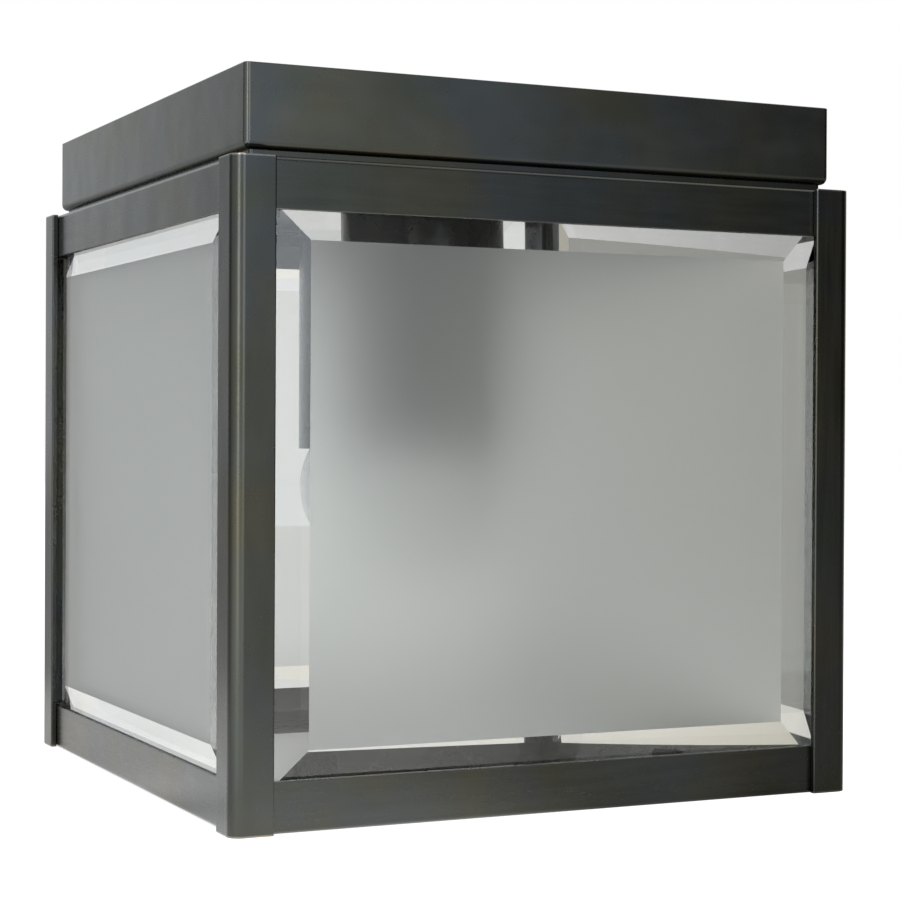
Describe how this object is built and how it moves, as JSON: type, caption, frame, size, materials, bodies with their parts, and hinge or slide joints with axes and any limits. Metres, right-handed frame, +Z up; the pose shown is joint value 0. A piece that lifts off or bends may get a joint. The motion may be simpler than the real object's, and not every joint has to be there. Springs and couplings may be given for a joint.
{
  "type": "porch ceiling lantern",
  "caption": "Square flush-mount box lantern: dark brass angle frame, bevelled panes with frosted centres, central lampholder can with a globe bulb, open bottom.",
  "frame": {"origin": "middle of the ceiling face, on top of the crossbar; the lantern hangs below it", "axes": "+Z up towards the ceiling, front towards -Y, crossbar along X"},
  "size_m": [0.305, 0.305, 0.3204],
  "materials": {
    "dark_brass": "dark chemical patina, satin wax",
    "bevelled_glass": "6 mm plate, clear polished bevel, acid-frosted centre on the outer face",
    "plain_brass": "plain, slightly tarnished",
    "zinc_steel": "zinc plated",
    "black_rubber": "matte",
    "porcelain": "glazed white",
    "ivory_plastic": "satin",
    "black_lead": "satin insulation",
    "white_lead": "satin insulation",
    "green_lead": "satin insulation",
    "opal_glass": "white opal, satin",
    "nickel_cap": "bright rolled",
    "black_glass": "gloss",
    "solder": "dull"
  },
  "bodies": {
    "root": {"post_front_left": "dark_brass", "post_front_right": "dark_brass", "post_back_right": "dark_brass", "post_back_left": "dark_brass", "top_rail_front": "dark_brass", "top_rail_right": "dark_brass", "top_rail_back": "dark_brass", "top_rail_left": "dark_brass", "bottom_rail_front": "dark_brass", "bottom_rail_right": "dark_brass", "bottom_rail_back": "dark_brass", "bottom_rail_left": "dark_brass", "canopy": "dark_brass", "roof_plate": "dark_brass", "socket_can": "dark_brass", "pane_front": "bevelled_glass", "pane_right": "bevelled_glass", "pane_back": "bevelled_glass", "pane_left": "bevelled_glass", "pane_clips_front": "plain_brass", "pane_clips_right": "plain_brass", "pane_clips_back": "plain_brass", "pane_clips_left": "plain_brass", "clip_screws": "plain_brass", "cap_nuts": "plain_brass", "nipple": "plain_brass", "nipple_locknuts": "plain_brass", "screw_shell": "plain_brass", "centre_contact": "plain_brass", "lampholder_screws": "plain_brass", "terminal_screws": "plain_brass", "lampholder_cap": "plain_brass", "earth_stud": "plain_brass", "earth_nut": "plain_brass", "crossbar": "zinc_steel", "mounting_studs": "zinc_steel", "stud_locknuts": "zinc_steel", "stud_washers": "zinc_steel", "roof_screws": "zinc_steel", "roof_nuts": "zinc_steel", "block_screws": "zinc_steel", "clip_pads": "black_rubber", "setting_blocks": "black_rubber", "lampholder_body": "porcelain", "terminal_block": "ivory_plastic", "live_lead": "black_lead", "neutral_lead": "white_lead", "earth_lead": "green_lead"},
    "bulb": {"bulb_globe": "opal_glass", "bulb_cap": "nickel_cap", "bulb_collar": "nickel_cap", "bulb_insulator": "black_glass", "bulb_contact": "solder"}
  },
  "joints": [
    {"name": "bulb_removal", "type": "slide", "parent": "root", "child": "bulb", "axis": [0, 0, -1], "range_m": [0, 0.24]}
  ]
}
